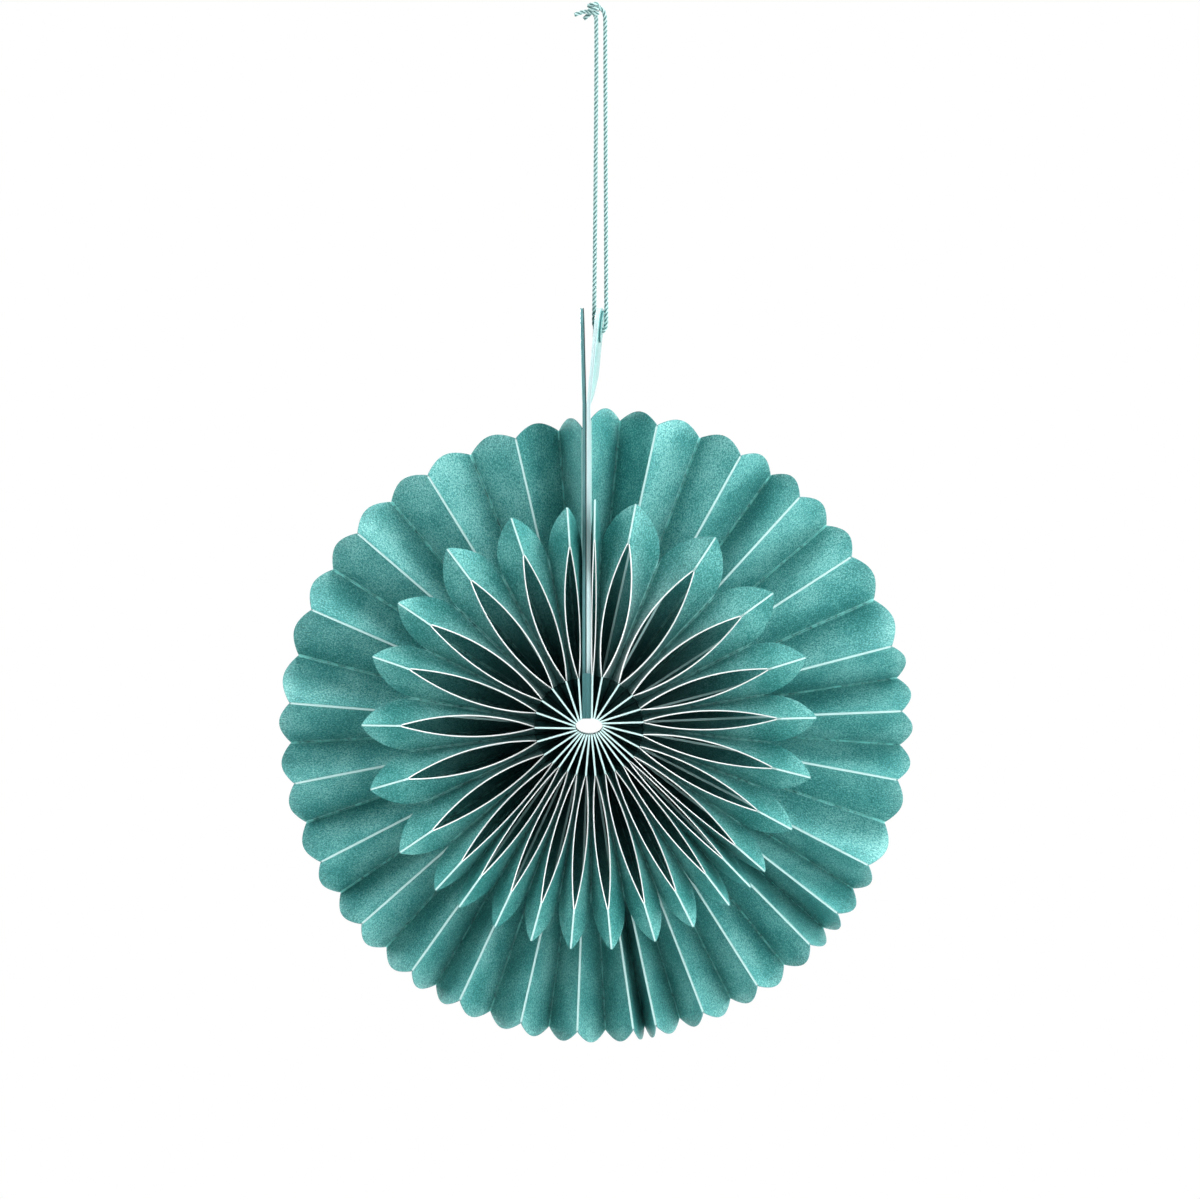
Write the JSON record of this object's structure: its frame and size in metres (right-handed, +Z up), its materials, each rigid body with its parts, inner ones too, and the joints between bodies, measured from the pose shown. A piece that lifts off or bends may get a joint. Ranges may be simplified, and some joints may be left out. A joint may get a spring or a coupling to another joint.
{
  "type": "paper fan medallion",
  "caption": "Round hanging decoration of pleated die-cut paper: a scalloped rear fan, a smaller petal fan with lens-shaped openings in front, two card tabs and a cord loop.",
  "frame": {"origin": "inside of the top of the hanging loop, where a hook bears", "axes": "+Z up, -Y out of the petal side towards the viewer, +X to the viewer's right"},
  "size_m": [0.1996, 0.0356, 0.3274],
  "materials": {
    "rear_paper": "pearlescent",
    "petal_paper": "pearlescent",
    "cover_card": "satin",
    "cord": "twisted"
  },
  "bodies": {
    "root": {"rear_fan": "rear_paper", "petal_fan": "petal_paper", "left_card": "cover_card", "right_card": "cover_card", "hanging_cord": "cord", "cord_knot": "cord"}
  },
  "joints": []
}
